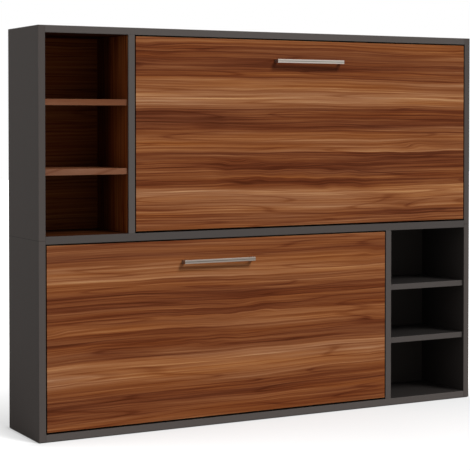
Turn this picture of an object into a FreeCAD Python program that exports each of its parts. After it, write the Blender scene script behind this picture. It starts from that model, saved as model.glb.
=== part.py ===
import FreeCAD, Part
import os
from math import acos, atan2, cos, degrees, hypot, pi, radians, sin, sqrt

# Wall bunk bed: a shallow cabinet with two fold-down beds, one above the other, and two
# open shelf niches. Millimetres. +Z is up, X runs along the wall and the front faces -Y.
# The origin is at the middle of the whole part's footprint, handles included.
# In the code u is measured from the left end, d from the front face towards the wall,
# and z from the floor.

# Cabinet
WIDTH = 2545.0
DEPTH = 417.0
HEIGHT = 2000.0
BOARD = 35.0
MIDDLE_BOARD = 38.0
LOWER_BAY_HEIGHT = 913.0
UPPER_NICHE_WIDTH = 434.0
LOWER_NICHE_WIDTH = 487.0
ARRIS = 0.8
BACK_BOARD = 8.0
BACK_INSET = 12.0
WALL_RAIL = 18.0
WALL_RAIL_HEIGHT = 90.0
WALL_HOLE_INSET = 140.5
WALL_HOLE_RADIUS = 4.5
GLIDE_HEIGHT = 3.0
GLIDE_LENGTH = 40.0
GLIDE_WIDTH = 24.0
GLIDE_INSET = 60.0

# Niches
LINING = 3.0
LINING_RECESS = 9.0
SHELF_THICKNESS = 30.0
SHELF_RECESS = 11.0
UPPER_SHELF_SHARES = (0.314, 0.660)
LOWER_SHELF_SHARES = (0.344, 0.660)

# Bed fronts and handles
PANEL = 22.0
SIDE_GAP = 5.5
TOP_GAP = 6.5
HANDLE_LENGTH = 402.0
HANDLE_BAR_HEIGHT = 19.0
HANDLE_BAR = 7.0
HANDLE_GAP = 28.0
HANDLE_LEG = 12.0
HANDLE_GROOVE = 3.0
HANDLE_GROOVE_DEPTH = 2.6
HANDLE_BELOW_TOP = 107.0
HANDLE_EDGE = 1.0
UPPER_HANDLE_OFFSET = -10.0
LOWER_HANDLE_OFFSET = -49.0

# Bed frames
PIVOT_HEIGHT = 220.0
SWEEP_CLEAR = 5.0
SWING_GAP = 27.0
FRAME_INSET = 6.0
TUBE_DEPTH = 40.0
TUBE_WIDTH = 20.0
TUBE_WALL = 2.0
TUBE_EDGE = 1.5

# Slats
SLAT_COUNT = 13
SLAT_WIDTH = 68.0
SLAT = 8.0
SLAT_CROWN = 14.0
SLAT_FRONT = 9.0
HOLDER_LENGTH = 42.0
HOLDER_WALL = 3.0
HOLDER_FLOOR = 5.0

# Mattresses and their straps
MATTRESS_THICKNESS = 180.0
MATTRESS_END_GAP = 9.0
MATTRESS_FOOT_GAP = 3.0
CEILING_CLEAR = 12.0
MATTRESS_CORNER = 55.0
MATTRESS_EDGE = 14.0
MATTRESS_CROWN = 7.0
STRAP_WIDTH = 45.0
STRAP = 2.0
STRAP_SHARES = (0.16, 0.5, 0.84)

# Pivots
PIVOT_BOLT_RADIUS = 8.0
PIVOT_HEAD_ACROSS = 24.0
PIVOT_HEAD = 5.0
BRACKET = 5.0
BRACKET_BACK = 60.0
BRACKET_RISE = 75.0
BRACKET_FOOT_RADIUS = 26.0
BOSS_RADIUS = 18.0
HUB_PLATE = 5.0
HUB_RADIUS = 20.0
HUB_GAP = 1.0
HUB_FOOT_RADIUS = 16.0

# Stops
STOP_LENGTH = 30.0
STOP_HEIGHT = 26.0
STOP_LAP = 12.0
REST_STOP_SHARE = 0.64
STOP_EDGE = 4.0

# Gas struts
STUD_DROP = 100.0
STUD_BACK = 8.0
STUD_RADIUS = 5.0
STRUT_ANCHOR_FROM_BACK = 35.0
STRUT_ANCHOR_RISE = 300.0
STRUT_TUBE_RADIUS = 10.0
STRUT_ROD_RADIUS = 5.0
STRUT_TUBE_LENGTH = 256.0
STRUT_TUBE_START = 24.0
STRUT_CAP = 12.0
STRUT_OVERLAP = 36.0
EYE_THICKNESS = 10.0
EYE_HALF = 10.0
EYE_EDGE = 4.0
ANCHOR_PLATE_HALF = 20.0
ANCHOR_PLATE = 3.0
ANCHOR_PLATE_EDGE = 6.0

# Guard rail of the upper bed
GUARD_TUBE_RADIUS = 9.0
GUARD_BEHIND_MATTRESS = 20.0
GUARD_RISE = 280.0
GUARD_ENTRY = 380.0
GUARD_INSET = 60.0
GUARD_BEND = 45.0
GUARD_PIN_RADIUS = 4.0
GUARD_EYE_RADIUS = 12.0
GUARD_PLAY = 1.5

# Clearances and the overrun of every cutting tool
SEAT = 0.3
RUNNING = 0.05
OVERRUN = 10.0

# Worked out from the values above
handle_reach = HANDLE_GAP + HANDLE_BAR
front_y = handle_reach / 2 - DEPTH / 2
back_d = DEPTH - BACK_INSET
back_face_d = back_d - BACK_BOARD
upper_back_face_d = back_d - PANEL
bottom_top = GLIDE_HEIGHT + BOARD
middle_z = bottom_top + LOWER_BAY_HEIGHT
upper_floor = middle_z + MIDDLE_BOARD
top_z = HEIGHT - BOARD
seam_z = middle_z + BOARD / 2
left_in = BOARD
right_in = WIDTH - BOARD
upper_divider_u = left_in + UPPER_NICHE_WIDTH
lower_divider_u = right_in - LOWER_NICHE_WIDTH - BOARD
pivot_d = PANEL + TUBE_DEPTH / 2
panel_bottom_gap = PIVOT_HEIGHT - sqrt((PIVOT_HEIGHT - SWEEP_CLEAR) ** 2 - pivot_d ** 2)
frame_back_d = PANEL + TUBE_DEPTH
slat_end_d = PANEL + SLAT_FRONT
mattress_d = slat_end_d + SLAT + SLAT_CROWN + SEAT
mattress_back_d = mattress_d + MATTRESS_THICKNESS
guard_d = mattress_back_d + GUARD_BEHIND_MATTRESS
anchor_back = back_face_d - STRUT_ANCHOR_FROM_BACK - pivot_d
strut_dy = anchor_back - STUD_BACK
strut_dz = STRUT_ANCHOR_RISE + STUD_DROP
strut_length = hypot(strut_dy, strut_dz)
strut_open = hypot(anchor_back - STUD_DROP, STRUT_ANCHOR_RISE - STUD_BACK)
strut_stroke = strut_length - strut_open
strut_swing = atan2(STRUT_ANCHOR_RISE - STUD_BACK, anchor_back - STUD_DROP) - atan2(strut_dz, strut_dy)
strut_plane = SWING_GAP / 2

os.makedirs("parts", exist_ok=True)
Vec = FreeCAD.Vector
X_AXIS = Vec(1, 0, 0)
Y_AXIS = Vec(0, 1, 0)
Z_AXIS = Vec(0, 0, 1)


def x_of(u):
    """X of a point u from the left end."""
    return u - WIDTH / 2


def y_of(d):
    """Y of a point d behind the front face."""
    return front_y + d


def block(u0, u1, d0, d1, z0, z1):
    """A box between two corners, whichever way round u0 and u1 come."""
    low = min(u0, u1)
    return Part.makeBox(abs(u1 - u0), d1 - d0, z1 - z0, Vec(x_of(low), y_of(d0), z0))


def rod_along_u(u0, u1, d, z, radius):
    """A round bar along the wall."""
    low = min(u0, u1)
    return Part.makeCylinder(radius, abs(u1 - u0), Vec(x_of(low), y_of(d), z), X_AXIS)


def rod_along_d(u, d0, d1, z, radius):
    """A round bar from the front towards the wall."""
    return Part.makeCylinder(radius, d1 - d0, Vec(x_of(u), y_of(d0), z), Y_AXIS)


def hexagon_along_u(u0, u1, d, z, across):
    """A six-sided head along the wall, as wide across its flats as asked."""
    low = min(u0, u1)
    corner = across / sqrt(3)
    turns = [radians(60) * step for step in range(7)]
    rim = [Vec(x_of(low), y_of(d) + corner * cos(turn), z + corner * sin(turn)) for turn in turns]
    return Part.Face(Part.makePolygon(rim)).extrude(X_AXIS * abs(u1 - u0))


def edges_along(shape, axis):
    """The straight edges of a shape that run along an axis."""
    found = []
    for edge in shape.Edges:
        if len(edge.Vertexes) == 2:
            run = edge.Vertexes[1].Point - edge.Vertexes[0].Point
            if run.Length > 0 and abs(run.normalize().dot(axis)) > cos(radians(1)):
                found.append(edge)
    return found


def faces_towards(shape, axis):
    """The flat faces whose outward side looks along an axis."""
    return [face for face in shape.Faces if face.normalAt(0, 0).dot(axis) > cos(radians(1))]


def lowest(edges):
    """The edges that lie lowest, all at one height."""
    floor = min(edge.CenterOfMass.z for edge in edges)
    return [edge for edge in edges if edge.CenterOfMass.z - floor < SEAT]


def eased(board, axis):
    """A board with the arris taken off round the face that looks along an axis."""
    return board.makeChamfer(ARRIS, faces_towards(board, axis)[0].Edges)


def save(node, *solids):
    """Write one node, a single solid or a group of separate ones."""
    shape = solids[0] if len(solids) == 1 else Part.makeCompound(list(solids))
    shape.exportStep("parts/" + node + ".step")


wall_hole_places = (upper_divider_u + BOARD + WALL_HOLE_INSET, lower_divider_u - WALL_HOLE_INSET)


def wall_rail_holes(z):
    """Cutting bars for the wall screws of the rail at one height."""
    start = back_d - WALL_RAIL - OVERRUN
    return [rod_along_d(u, start, DEPTH + OVERRUN, z, WALL_HOLE_RADIUS) for u in wall_hole_places]


def shelf_heights(floor, ceiling, shares):
    """Underside of each shelf of a niche."""
    return [floor + (ceiling - floor) * share - SHELF_THICKNESS / 2 for share in shares]


def build_cabinet():
    """Sides, boards, dividers, backs, niches and what stands on the floor."""
    upper_shelves = shelf_heights(upper_floor, top_z, UPPER_SHELF_SHARES)
    lower_shelves = shelf_heights(bottom_top, middle_z, LOWER_SHELF_SHARES)
    upper_faces = (left_in + LINING, upper_divider_u - LINING)
    lower_faces = (lower_divider_u + BOARD, right_in)

    for name, u in (("left", 0), ("right", right_in)):
        upper = eased(block(u, u + BOARD, 0, DEPTH, seam_z, HEIGHT), -Y_AXIS)
        lower = eased(block(u, u + BOARD, 0, DEPTH, GLIDE_HEIGHT, seam_z), -Y_AXIS)
        save("side_" + name + "_upper", upper)
        save("side_" + name + "_lower", lower)
    save("top_board", eased(block(left_in, right_in, 0, DEPTH, top_z, HEIGHT), -Y_AXIS))
    save("middle_board", eased(block(left_in, right_in, 0, DEPTH, middle_z, upper_floor), -Y_AXIS))
    save("bottom_board", eased(block(left_in, right_in, 0, DEPTH, GLIDE_HEIGHT, bottom_top), -Y_AXIS))
    upper_divider = block(upper_divider_u, upper_divider_u + BOARD, 0, back_d, upper_floor, top_z)
    lower_divider = block(lower_divider_u, lower_divider_u + BOARD, 0, back_d, bottom_top, middle_z)
    save("upper_divider", eased(upper_divider, -Y_AXIS))
    save("lower_divider", eased(lower_divider, -Y_AXIS))

    lined = (LINING_RECESS, upper_back_face_d)
    lining_left = block(left_in, upper_faces[0], *lined, upper_floor, top_z)
    lining_right = block(upper_faces[1], upper_divider_u, *lined, upper_floor, top_z)
    lining_top = block(*upper_faces, *lined, top_z - LINING, top_z)
    lining_bottom = block(*upper_faces, *lined, upper_floor, upper_floor + LINING)
    save("upper_niche_lining", lining_left, lining_right, lining_top, lining_bottom)

    for level, underside in enumerate(upper_shelves, 1):
        shelf = block(*upper_faces, SHELF_RECESS, upper_back_face_d, underside, underside + SHELF_THICKNESS)
        save("upper_niche_shelf_" + str(level), eased(shelf, -Y_AXIS))
    for level, underside in enumerate(lower_shelves, 1):
        shelf = block(*lower_faces, SHELF_RECESS, back_face_d, underside, underside + SHELF_THICKNESS)
        save("lower_niche_shelf_" + str(level), eased(shelf, -Y_AXIS))

    upper_back = block(left_in, upper_divider_u, upper_back_face_d, back_d, upper_floor, top_z)
    lower_back = block(*lower_faces, back_face_d, back_d, bottom_top, middle_z)
    save("upper_niche_back", upper_back)
    save("lower_niche_back", lower_back)
    rails = []
    for name, u0, u1, floor, ceiling in (
        ("upper", upper_divider_u + BOARD, right_in, upper_floor, top_z),
        ("lower", left_in, lower_divider_u, bottom_top, middle_z),
    ):
        rail_z = ceiling - WALL_RAIL_HEIGHT
        save(name + "_bed_back", block(u0, u1, back_face_d, back_d, floor, rail_z))
        rail = block(u0, u1, back_d - WALL_RAIL, back_d, rail_z, ceiling)
        rails.append(rail.cut(wall_rail_holes(rail_z + WALL_RAIL_HEIGHT / 2)))
    save("wall_rails", *rails)

    glides = []
    for u in (BOARD / 2, lower_divider_u + BOARD / 2, WIDTH - BOARD / 2):
        for d in (GLIDE_INSET, DEPTH - GLIDE_INSET):
            glides.append(block(u - GLIDE_WIDTH / 2, u + GLIDE_WIDTH / 2, d - GLIDE_LENGTH / 2,
                                d + GLIDE_LENGTH / 2, 0, GLIDE_HEIGHT))
    save("floor_glides", *glides)


def hollow_box(u0, u1, d0, d1, z0, z1, axis):
    """A steel tube of square section along an axis, open at its ends."""
    outer = block(u0, u1, d0, d1, z0, z1)
    outer = outer.makeChamfer(TUBE_EDGE, edges_along(outer, axis))
    inner_d = (d0 + TUBE_WALL, d1 - TUBE_WALL)
    if axis == X_AXIS:
        inner = block(u0 - OVERRUN, u1 + OVERRUN, *inner_d, z0 + TUBE_WALL, z1 - TUBE_WALL)
    else:
        inner = block(u0 + TUBE_WALL, u1 - TUBE_WALL, *inner_d, z0 - OVERRUN, z1 + OVERRUN)
    return outer.cut(inner)


def tapered_plate(face, inward, start, thick, big_centre, big_radius, small_centre, small_radius):
    """An upright plate, square to the wall, with two round ends joined by tangent edges."""
    run = small_centre - big_centre
    lean = atan2(run.z, run.y)
    spread = acos((big_radius - small_radius) / run.Length)
    x = x_of(face + inward * start)

    def rim(centre, radius, angle):
        return Vec(x, centre.y + radius * cos(angle), centre.z + radius * sin(angle))

    big_top = rim(big_centre, big_radius, lean + spread)
    big_far = rim(big_centre, big_radius, lean + pi)
    big_low = rim(big_centre, big_radius, lean - spread)
    small_low = rim(small_centre, small_radius, lean - spread)
    small_far = rim(small_centre, small_radius, lean)
    small_top = rim(small_centre, small_radius, lean + spread)
    outline = Part.Wire([
        Part.Arc(big_top, big_far, big_low).toShape(),
        Part.LineSegment(big_low, small_low).toShape(),
        Part.Arc(small_low, small_far, small_top).toShape(),
        Part.LineSegment(small_top, big_top).toShape(),
    ])
    return Part.Face(outline).extrude(X_AXIS * (inward * thick))


class Bay:
    """One bed's opening in the cabinet and the sizes that follow from it."""

    def __init__(self, name, u0, u1, floor, ceiling, handle_offset):
        self.name = name
        self.u0 = u0
        self.u1 = u1
        self.floor = floor
        self.ceiling = ceiling
        self.handle_u = (u0 + u1) / 2 + handle_offset
        self.pivot_z = floor + PIVOT_HEIGHT
        self.panel_low = floor + panel_bottom_gap
        self.panel_top = ceiling - TOP_GAP
        self.frame_u0 = u0 + SWING_GAP
        self.frame_u1 = u1 - SWING_GAP
        self.frame_low = self.panel_low + FRAME_INSET
        self.frame_top = self.panel_top - FRAME_INSET
        self.rise = ceiling - self.pivot_z - CEILING_CLEAR
        self.mattress_low = self.frame_low + TUBE_WIDTH + MATTRESS_FOOT_GAP
        highest = self.pivot_z + sqrt(self.rise ** 2 - (mattress_back_d - pivot_d) ** 2)
        self.mattress_top = min(highest, self.frame_top - TUBE_WIDTH - MATTRESS_FOOT_GAP)
        self.mattress_u0 = self.frame_u0 + TUBE_WIDTH + MATTRESS_END_GAP
        self.mattress_u1 = self.frame_u1 - TUBE_WIDTH - MATTRESS_END_GAP
        self.sides = ((u0, 1), (u1, -1))

    def beside(self, face, inward, d, z, start, end, radius):
        """A round bar that starts and ends at distances from the bay's side."""
        return rod_along_u(face + inward * start, face + inward * end, d, z, radius)


upper_bay = Bay("upper_bed", upper_divider_u + BOARD, right_in, upper_floor, top_z, UPPER_HANDLE_OFFSET)
lower_bay = Bay("lower_bed", left_in, lower_divider_u, bottom_top, middle_z, LOWER_HANDLE_OFFSET)


def build_front(bay):
    """The front panel with its bar handle."""
    panel = block(bay.u0 + SIDE_GAP, bay.u1 - SIDE_GAP, 0, PANEL, bay.panel_low, bay.panel_top)
    save(bay.name + "_front_panel", eased(panel, -Y_AXIS))

    z = bay.panel_top - HANDLE_BELOW_TOP
    bar_z = (z - HANDLE_BAR_HEIGHT / 2, z + HANDLE_BAR_HEIGHT / 2)
    left = bay.handle_u - HANDLE_LENGTH / 2
    right = bay.handle_u + HANDLE_LENGTH / 2
    bar = block(left, right, -handle_reach, -HANDLE_GAP, *bar_z)
    bar = bar.makeChamfer(HANDLE_EDGE, edges_along(bar, X_AXIS))
    groove = block(left + HANDLE_LEG, right - HANDLE_LEG, -handle_reach - OVERRUN,
                   -handle_reach + HANDLE_GROOVE_DEPTH, z - HANDLE_GROOVE / 2, z + HANDLE_GROOVE / 2)
    save(bay.name + "_handle_bar", bar.cut(groove))
    posts = [block(u, u + HANDLE_LEG, -HANDLE_GAP, 0, *bar_z) for u in (left, right - HANDLE_LEG)]
    save(bay.name + "_handle_posts", *posts)


def build_frame(bay):
    """The welded tube frame behind the panel."""
    pivot_holes = []
    for face, inward in bay.sides:
        pivot_holes.append(bay.beside(face, inward, pivot_d, bay.pivot_z, SWING_GAP - OVERRUN,
                                      SWING_GAP + TUBE_WIDTH + OVERRUN, PIVOT_BOLT_RADIUS + RUNNING))
    ends = []
    for u in (bay.frame_u0, bay.frame_u1 - TUBE_WIDTH):
        tube = hollow_box(u, u + TUBE_WIDTH, PANEL, frame_back_d, bay.frame_low, bay.frame_top, Z_AXIS)
        ends.append(tube.cut(pivot_holes))
    save(bay.name + "_frame_end_rails", *ends)

    longs = []
    for z in (bay.frame_low, bay.frame_top - TUBE_WIDTH):
        longs.append(hollow_box(bay.frame_u0 + TUBE_WIDTH, bay.frame_u1 - TUBE_WIDTH, PANEL, frame_back_d,
                                z, z + TUBE_WIDTH, X_AXIS))
    save(bay.name + "_frame_long_rails", *longs)


def bent_slat(u, z0, z1):
    """A sprung slat: a flat strip bowed towards the mattress."""
    x = x_of(u) - SLAT_WIDTH / 2
    mid_z = (z0 + z1) / 2
    front_end = y_of(slat_end_d)
    back_end = y_of(slat_end_d + SLAT)
    front = Part.Arc(Vec(x, front_end, z0), Vec(x, front_end + SLAT_CROWN, mid_z), Vec(x, front_end, z1))
    back = Part.Arc(Vec(x, back_end, z1), Vec(x, back_end + SLAT_CROWN, mid_z), Vec(x, back_end, z0))
    outline = Part.Wire([
        front.toShape(),
        Part.LineSegment(Vec(x, front_end, z1), Vec(x, back_end, z1)).toShape(),
        back.toShape(),
        Part.LineSegment(Vec(x, back_end, z0), Vec(x, front_end, z0)).toShape(),
    ])
    return Part.Face(outline).extrude(X_AXIS * SLAT_WIDTH)


def build_slats(bay):
    """Bowed slats across the frame and the moulded pockets that take their ends."""
    low = bay.frame_low + TUBE_WIDTH
    top = bay.frame_top - TUBE_WIDTH
    first = bay.frame_u0 + TUBE_WIDTH + SLAT_WIDTH
    last = bay.frame_u1 - TUBE_WIDTH - SLAT_WIDTH
    step = (last - first) / (SLAT_COUNT - 1)
    grip = SLAT_WIDTH / 2 + SEAT
    span_share = (HOLDER_LENGTH - HOLDER_FLOOR) / (top - low - HOLDER_FLOOR - HOLDER_FLOOR)
    bow = 4 * SLAT_CROWN * span_share * (1 - span_share)
    slot_back = slat_end_d + SLAT + bow + SEAT
    slats = []
    holders = []
    for place in range(SLAT_COUNT):
        u = first + step * place
        slats.append(bent_slat(u, low + HOLDER_FLOOR + SEAT, top - HOLDER_FLOOR - SEAT))
        slot = block(u - grip, u + grip, slat_end_d - SEAT, slot_back, low + HOLDER_FLOOR, top - HOLDER_FLOOR)
        for z0, z1 in ((low, low + HOLDER_LENGTH), (top - HOLDER_LENGTH, top)):
            body = block(u - grip - HOLDER_WALL, u + grip + HOLDER_WALL, slat_end_d - HOLDER_WALL,
                         slot_back + HOLDER_WALL, z0, z1)
            holders.append(body.cut(slot))
    save(bay.name + "_slats", *slats)
    save(bay.name + "_slat_holders", *holders)


def build_mattress(bay):
    """The mattress, and the straps that keep it on the bed while it stands up."""
    body = block(bay.mattress_u0, bay.mattress_u1, mattress_d, mattress_back_d,
                 bay.mattress_low, bay.mattress_top)
    body = body.makeFillet(MATTRESS_CORNER, edges_along(body, Y_AXIS))
    rims = faces_towards(body, Y_AXIS)[0].Edges + faces_towards(body, -Y_AXIS)[0].Edges
    body = body.makeChamfer(MATTRESS_EDGE, rims)
    half_height = (bay.mattress_top - bay.mattress_low) / 2
    crown_radius = (half_height ** 2 + MATTRESS_CROWN ** 2) / (MATTRESS_CROWN + MATTRESS_CROWN)
    crown = rod_along_u(bay.mattress_u0 - OVERRUN, bay.mattress_u1 + OVERRUN, mattress_back_d - crown_radius,
                        bay.mattress_low + half_height, crown_radius)
    save(bay.name + "_mattress", body.common(crown))

    straps = []
    inner_low = bay.mattress_low - SEAT
    inner_top = bay.mattress_top + SEAT
    for share in STRAP_SHARES:
        u = bay.mattress_u0 + (bay.mattress_u1 - bay.mattress_u0) * share
        outer = block(u - STRAP_WIDTH / 2, u + STRAP_WIDTH / 2, frame_back_d, mattress_back_d + SEAT + STRAP,
                      inner_low - STRAP, inner_top + STRAP)
        inner = block(u - STRAP_WIDTH, u + STRAP_WIDTH, frame_back_d - OVERRUN, mattress_back_d + SEAT,
                      inner_low, inner_top)
        band = outer.cut(inner)
        for rail_z, strap_z in ((bay.frame_low, inner_low - STRAP), (bay.frame_top - TUBE_WIDTH, inner_top)):
            low = min(rail_z, strap_z)
            high = max(rail_z + TUBE_WIDTH, strap_z + STRAP)
            band = band.fuse(block(u - STRAP_WIDTH / 2, u + STRAP_WIDTH / 2,
                                   frame_back_d, frame_back_d + STRAP, low, high))
        straps.append(band.removeSplitter())
    save(bay.name + "_mattress_straps", *straps)


def build_pivots(bay):
    """Cabinet brackets, shoulder bolts and the hub plates on the frame."""
    brackets = []
    bolts = []
    hubs = []
    centre = Vec(0, y_of(pivot_d), bay.pivot_z)
    stud = Vec(0, y_of(pivot_d + STUD_BACK), bay.pivot_z - STUD_DROP)
    foot = Vec(0, y_of(pivot_d + BRACKET_BACK), bay.pivot_z + BRACKET_RISE)
    boss_end = SWING_GAP - HUB_PLATE - HUB_GAP
    for face, inward in bay.sides:
        plate = tapered_plate(face, inward, 0, BRACKET, foot, BRACKET_FOOT_RADIUS, centre, BOSS_RADIUS)
        boss = bay.beside(face, inward, pivot_d, bay.pivot_z, 0, boss_end, BOSS_RADIUS)
        bore = bay.beside(face, inward, pivot_d, bay.pivot_z, -OVERRUN, SWING_GAP,
                          PIVOT_BOLT_RADIUS + RUNNING)
        brackets.append(plate.fuse(boss).cut(bore).removeSplitter())

        shank = bay.beside(face, inward, pivot_d, bay.pivot_z, HUB_GAP, SWING_GAP + TUBE_WIDTH,
                           PIVOT_BOLT_RADIUS)
        head_face = face + inward * (SWING_GAP + TUBE_WIDTH)
        head = hexagon_along_u(head_face, head_face + inward * PIVOT_HEAD, pivot_d, bay.pivot_z,
                               PIVOT_HEAD_ACROSS)
        bolts.append(shank.fuse(head).removeSplitter())

        hub = tapered_plate(face, inward, SWING_GAP - HUB_PLATE, HUB_PLATE, centre, HUB_RADIUS,
                            stud, HUB_FOOT_RADIUS)
        stub = bay.beside(face, inward, pivot_d + STUD_BACK, bay.pivot_z - STUD_DROP,
                          strut_plane + EYE_THICKNESS / 2 + SEAT, SWING_GAP - HUB_PLATE, STUD_RADIUS)
        hubs.append(hub.cut(bore).fuse(stub).removeSplitter())
    save(bay.name + "_pivot_brackets", *brackets)
    save(bay.name + "_pivot_bolts", *bolts)
    save(bay.name + "_hub_plates", *hubs)


def build_stops(bay):
    """Stop blocks on the bay's sides: one holds the open bed's tail, one the closed bed."""
    blocks = []
    lap = SWING_GAP + STOP_LAP
    tail_end = bay.pivot_z - bay.frame_low
    rest_z = bay.pivot_z + (bay.frame_top - bay.pivot_z) * REST_STOP_SHARE
    for face, inward in bay.sides:
        tail_z = bay.pivot_z + TUBE_DEPTH / 2 + SEAT
        tail = block(face, face + inward * lap, pivot_d + tail_end - STOP_LENGTH, pivot_d + tail_end,
                     tail_z, tail_z + STOP_HEIGHT)
        rest = block(face, face + inward * lap, frame_back_d + SEAT, frame_back_d + SEAT + STOP_HEIGHT,
                     rest_z, rest_z + STOP_LENGTH)
        blocks.append(tail.makeChamfer(STOP_EDGE, edges_along(tail, X_AXIS)))
        blocks.append(rest.makeChamfer(STOP_EDGE, edges_along(rest, X_AXIS)))
    save(bay.name + "_stops", *blocks)


def strut_shape(bay, face, inward, shape):
    """Put a shape drawn along +X from the anchor into its place beside the frame."""
    placed = shape.copy()
    placed.rotate(Vec(0, 0, 0), Z_AXIS, degrees(pi / 2))
    placed.rotate(Vec(0, 0, 0), X_AXIS, degrees(atan2(-strut_dz, -strut_dy)))
    anchor_d = pivot_d + anchor_back
    placed.translate(Vec(x_of(face + inward * strut_plane), y_of(anchor_d), bay.pivot_z + STRUT_ANCHOR_RISE))
    return placed


def along(start, end, radius):
    """A round bar along +X, drawn before it is put in place."""
    return Part.makeCylinder(radius, end - start, Vec(start, 0, 0), X_AXIS)


def eye_at(place, towards, reach):
    """A strut's flat end, bored across for its pin, and the bar that bores it."""
    start = min(place - towards * EYE_HALF, place + towards * reach)
    flat = Part.makeBox(EYE_HALF + reach, EYE_THICKNESS, EYE_HALF * 2,
                        Vec(start, -EYE_THICKNESS / 2, -EYE_HALF))
    tip = [edge for edge in edges_along(flat, Y_AXIS)
           if (edge.CenterOfMass.x - place) * towards < 0]
    flat = flat.makeChamfer(EYE_EDGE, tip)
    bore_start = Vec(place, -EYE_THICKNESS, 0)
    bore = Part.makeCylinder(STUD_RADIUS + RUNNING, EYE_THICKNESS + OVERRUN, bore_start, Y_AXIS)
    return flat, bore


def build_struts(bay):
    """Gas struts: anchors on the cabinet, cylinders that swing on them, and rods."""
    anchors = []
    cylinders = []
    rods = []
    anchor_d = pivot_d + anchor_back
    anchor_z = bay.pivot_z + STRUT_ANCHOR_RISE
    tube_end = STRUT_TUBE_START + STRUT_TUBE_LENGTH
    inner_end = tube_end - STRUT_OVERLAP - STRUT_CAP
    for face, inward in bay.sides:
        plate = block(face, face + inward * ANCHOR_PLATE,
                      anchor_d - ANCHOR_PLATE_HALF, anchor_d + ANCHOR_PLATE_HALF,
                      anchor_z - ANCHOR_PLATE_HALF, anchor_z + ANCHOR_PLATE_HALF)
        plate = plate.makeChamfer(ANCHOR_PLATE_EDGE, edges_along(plate, X_AXIS))
        pin = bay.beside(face, inward, anchor_d, anchor_z, 0, strut_plane + EYE_THICKNESS / 2, STUD_RADIUS)
        anchors.append(plate.fuse(pin).removeSplitter())

        flat, bore = eye_at(0, 1, STRUT_TUBE_START)
        tube = along(STRUT_TUBE_START, tube_end, STRUT_TUBE_RADIUS)
        mouth = along(STRUT_TUBE_START + STRUT_CAP, tube_end + OVERRUN, STRUT_ROD_RADIUS + RUNNING)
        cylinders.append(strut_shape(bay, face, inward, flat.fuse(tube).cut([bore, mouth]).removeSplitter()))

        flat, bore = eye_at(strut_length, -1, EYE_HALF)
        shaft = along(inner_end, strut_length - EYE_HALF, STRUT_ROD_RADIUS)
        rods.append(strut_shape(bay, face, inward, shaft.fuse(flat).cut(bore).removeSplitter()))
    save(bay.name + "_strut_anchors", *anchors)
    save(bay.name + "_strut_cylinders", *cylinders)
    save(bay.name + "_strut_rods", *rods)


def build_guard(bay):
    """The upper bed's guard rail: posts on the frame, and a swinging bow with its bars."""
    reach = guard_d - pivot_d + GUARD_EYE_RADIUS
    guard_z = bay.pivot_z + sqrt(bay.rise ** 2 - reach ** 2) - GUARD_EYE_RADIUS
    posts = []
    pins = []
    post_mid = SWING_GAP + TUBE_WIDTH / 2
    post_in = SWING_GAP + TUBE_WIDTH / 2 + GUARD_TUBE_RADIUS
    for face, inward in bay.sides:
        stem = block(face + inward * (post_mid - GUARD_TUBE_RADIUS), face + inward * post_in, frame_back_d,
                     guard_d, guard_z - GUARD_TUBE_RADIUS, guard_z + GUARD_TUBE_RADIUS)
        eye = bay.beside(face, inward, guard_d, guard_z, post_mid - GUARD_TUBE_RADIUS, post_in,
                         GUARD_EYE_RADIUS)
        bore = bay.beside(face, inward, guard_d, guard_z, post_mid - GUARD_TUBE_RADIUS - OVERRUN,
                          post_in + OVERRUN, GUARD_PIN_RADIUS + RUNNING)
        posts.append(stem.fuse(eye).cut(bore).removeSplitter())
        pins.append(bay.beside(face, inward, guard_d, guard_z, post_mid - GUARD_TUBE_RADIUS,
                               post_in + GUARD_PLAY, GUARD_PIN_RADIUS))
    save(bay.name + "_guard_posts", *posts)

    tube_u0 = bay.u0 + post_in + GUARD_PLAY
    tube_u1 = bay.u1 - post_in - GUARD_PLAY
    hinge_tube = rod_along_u(tube_u0, tube_u1, guard_d, guard_z, GUARD_TUBE_RADIUS)
    save(bay.name + "_guard_pins", *pins)

    left = tube_u0 + GUARD_INSET
    right = tube_u1 - GUARD_ENTRY
    low = guard_z - GUARD_RISE
    top = guard_z - GUARD_TUBE_RADIUS
    half = GUARD_TUBE_RADIUS
    outer = block(left - half, right + half, guard_d - half, guard_d + half, low - half, top)
    inner = block(left + half, right - half, guard_d - OVERRUN, guard_d + OVERRUN, low + half, top + OVERRUN)
    outer = outer.makeFillet(GUARD_BEND + half, lowest(edges_along(outer, Y_AXIS)))
    inner = inner.makeFillet(GUARD_BEND - half, lowest(edges_along(inner, Y_AXIS)))
    save(bay.name + "_guard_bow", outer.cut(inner))
    mid_z = (low + guard_z) / 2
    bar = block(left + half, right - half, guard_d - half, guard_d + half, mid_z - half, mid_z + half)
    save(bay.name + "_guard_bars", hinge_tube, bar)


build_cabinet()
for each_bay in (upper_bay, lower_bay):
    build_front(each_bay)
    build_frame(each_bay)
    build_slats(each_bay)
    build_mattress(each_bay)
    build_pivots(each_bay)
    build_stops(each_bay)
    build_struts(each_bay)
build_guard(upper_bay)
print("gas strut: stroke %.2f mm, swing %.3f degrees" % (strut_stroke, degrees(strut_swing)))
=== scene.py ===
import math

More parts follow.
